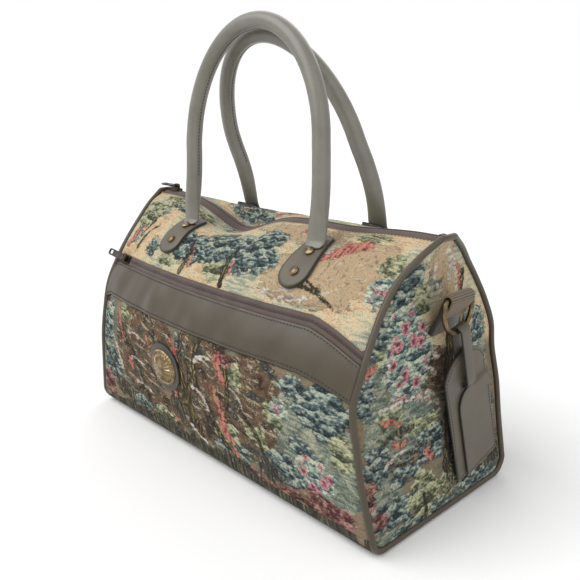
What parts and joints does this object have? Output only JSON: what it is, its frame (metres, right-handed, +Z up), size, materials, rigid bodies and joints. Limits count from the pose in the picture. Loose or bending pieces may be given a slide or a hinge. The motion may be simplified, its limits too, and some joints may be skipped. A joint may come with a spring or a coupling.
{
  "type": "carpet bag",
  "caption": "Tapestry carpet bag with a zipped ridge, a zipped front pocket under a leather band, rolled leather handles, end D-rings and a hanging luggage tag.",
  "frame": {"origin": "middle of the flat base, on the floor", "axes": "+X along the bag towards the end with the tag, -Y out of the front pocket, +Z up"},
  "size_m": [0.396, 0.2126, 0.3921],
  "materials": {
    "tapestry": "woven",
    "leather": "satin",
    "zip_tape": "woven",
    "lining": "woven",
    "board": "matte",
    "bronze": "antique",
    "rope": "twisted",
    "card": "matte"
  },
  "bodies": {
    "bag": {"front_panel": "tapestry", "rear_panel": "tapestry", "base_panel": "tapestry", "base_board": "board", "right_gusset": "tapestry", "left_gusset": "tapestry", "right_piping": "leather", "left_piping": "leather", "pocket_panel": "tapestry", "pocket_band": "leather", "pocket_back_wall": "lining", "pocket_zip_upper_tape": "zip_tape", "pocket_zip_lower_tape": "zip_tape", "pocket_zip_chain": "bronze", "pocket_zip_stops": "bronze", "main_zip_front_tape": "zip_tape", "main_zip_rear_tape": "zip_tape", "main_zip_chain": "bronze", "main_zip_stops": "bronze", "front_left_tab": "leather", "front_right_tab": "leather", "front_rivets": "bronze", "rear_left_tab": "leather", "rear_right_tab": "leather", "rear_rivets": "bronze", "medallion_disc": "leather", "medallion_boss": "bronze", "right_ring_tab": "leather", "left_ring_tab": "leather"},
    "front_handle": {"front_grip": "leather", "front_grip_core": "rope"},
    "rear_handle": {"rear_grip": "leather", "rear_grip_core": "rope"},
    "main_slider": {"main_zip_slider": "bronze"},
    "main_pull": {"main_zip_pull": "bronze"},
    "pocket_slider": {"pocket_zip_slider": "bronze"},
    "pocket_pull": {"pocket_zip_pull": "bronze"},
    "right_ring": {"right_d_ring": "bronze"},
    "left_ring": {"left_d_ring": "bronze"},
    "tag": {"tag_loop": "leather", "tag_back": "leather", "tag_flap": "leather", "name_card": "card"}
  },
  "joints": [
    {"name": "front_handle_swing", "type": "hinge", "parent": "bag", "child": "front_handle", "pos_m": [0, -0.03673, 0.22015], "axis": [1, 0, 0], "range_deg": [0, 110]},
    {"name": "rear_handle_swing", "type": "hinge", "parent": "bag", "child": "rear_handle", "pos_m": [0, 0.03673, 0.22015], "axis": [-1, 0, 0], "range_deg": [0, 110]},
    {"name": "main_zip_slide", "type": "slide", "parent": "bag", "child": "main_slider", "axis": [1, 0, 0], "range_m": [0, 0.33]},
    {"name": "main_pull_flip", "type": "hinge", "parent": "main_slider", "child": "main_pull", "pos_m": [-0.1627, 0, 0.2293], "axis": [0, 1, 0], "range_deg": [0, 170]},
    {"name": "pocket_zip_slide", "type": "hinge", "parent": "bag", "child": "pocket_slider", "pos_m": [0, 0.89167, 0.164], "axis": [0, 0, 1], "range_deg": [0, 14.9]},
    {"name": "pocket_pull_flip", "type": "hinge", "parent": "pocket_slider", "child": "pocket_pull", "pos_m": [-0.14675, -0.07782, 0.1662], "axis": [0.0767, 0.5069, 0.8586], "range_deg": [0, 165]},
    {"name": "right_ring_swing", "type": "hinge", "parent": "bag", "child": "right_ring", "pos_m": [0.19326, 0, 0.181], "axis": [0, -1, 0], "range_deg": [0, 120]},
    {"name": "left_ring_swing", "type": "hinge", "parent": "bag", "child": "left_ring", "pos_m": [-0.19326, 0, 0.181], "axis": [0, 1, 0], "range_deg": [0, 165]},
    {"name": "tag_swing", "type": "hinge", "parent": "right_ring", "child": "tag", "pos_m": [0.19326, 0.00482, 0.15468], "axis": [0, -0.9613, -0.2756], "range_deg": [0, 60]}
  ]
}
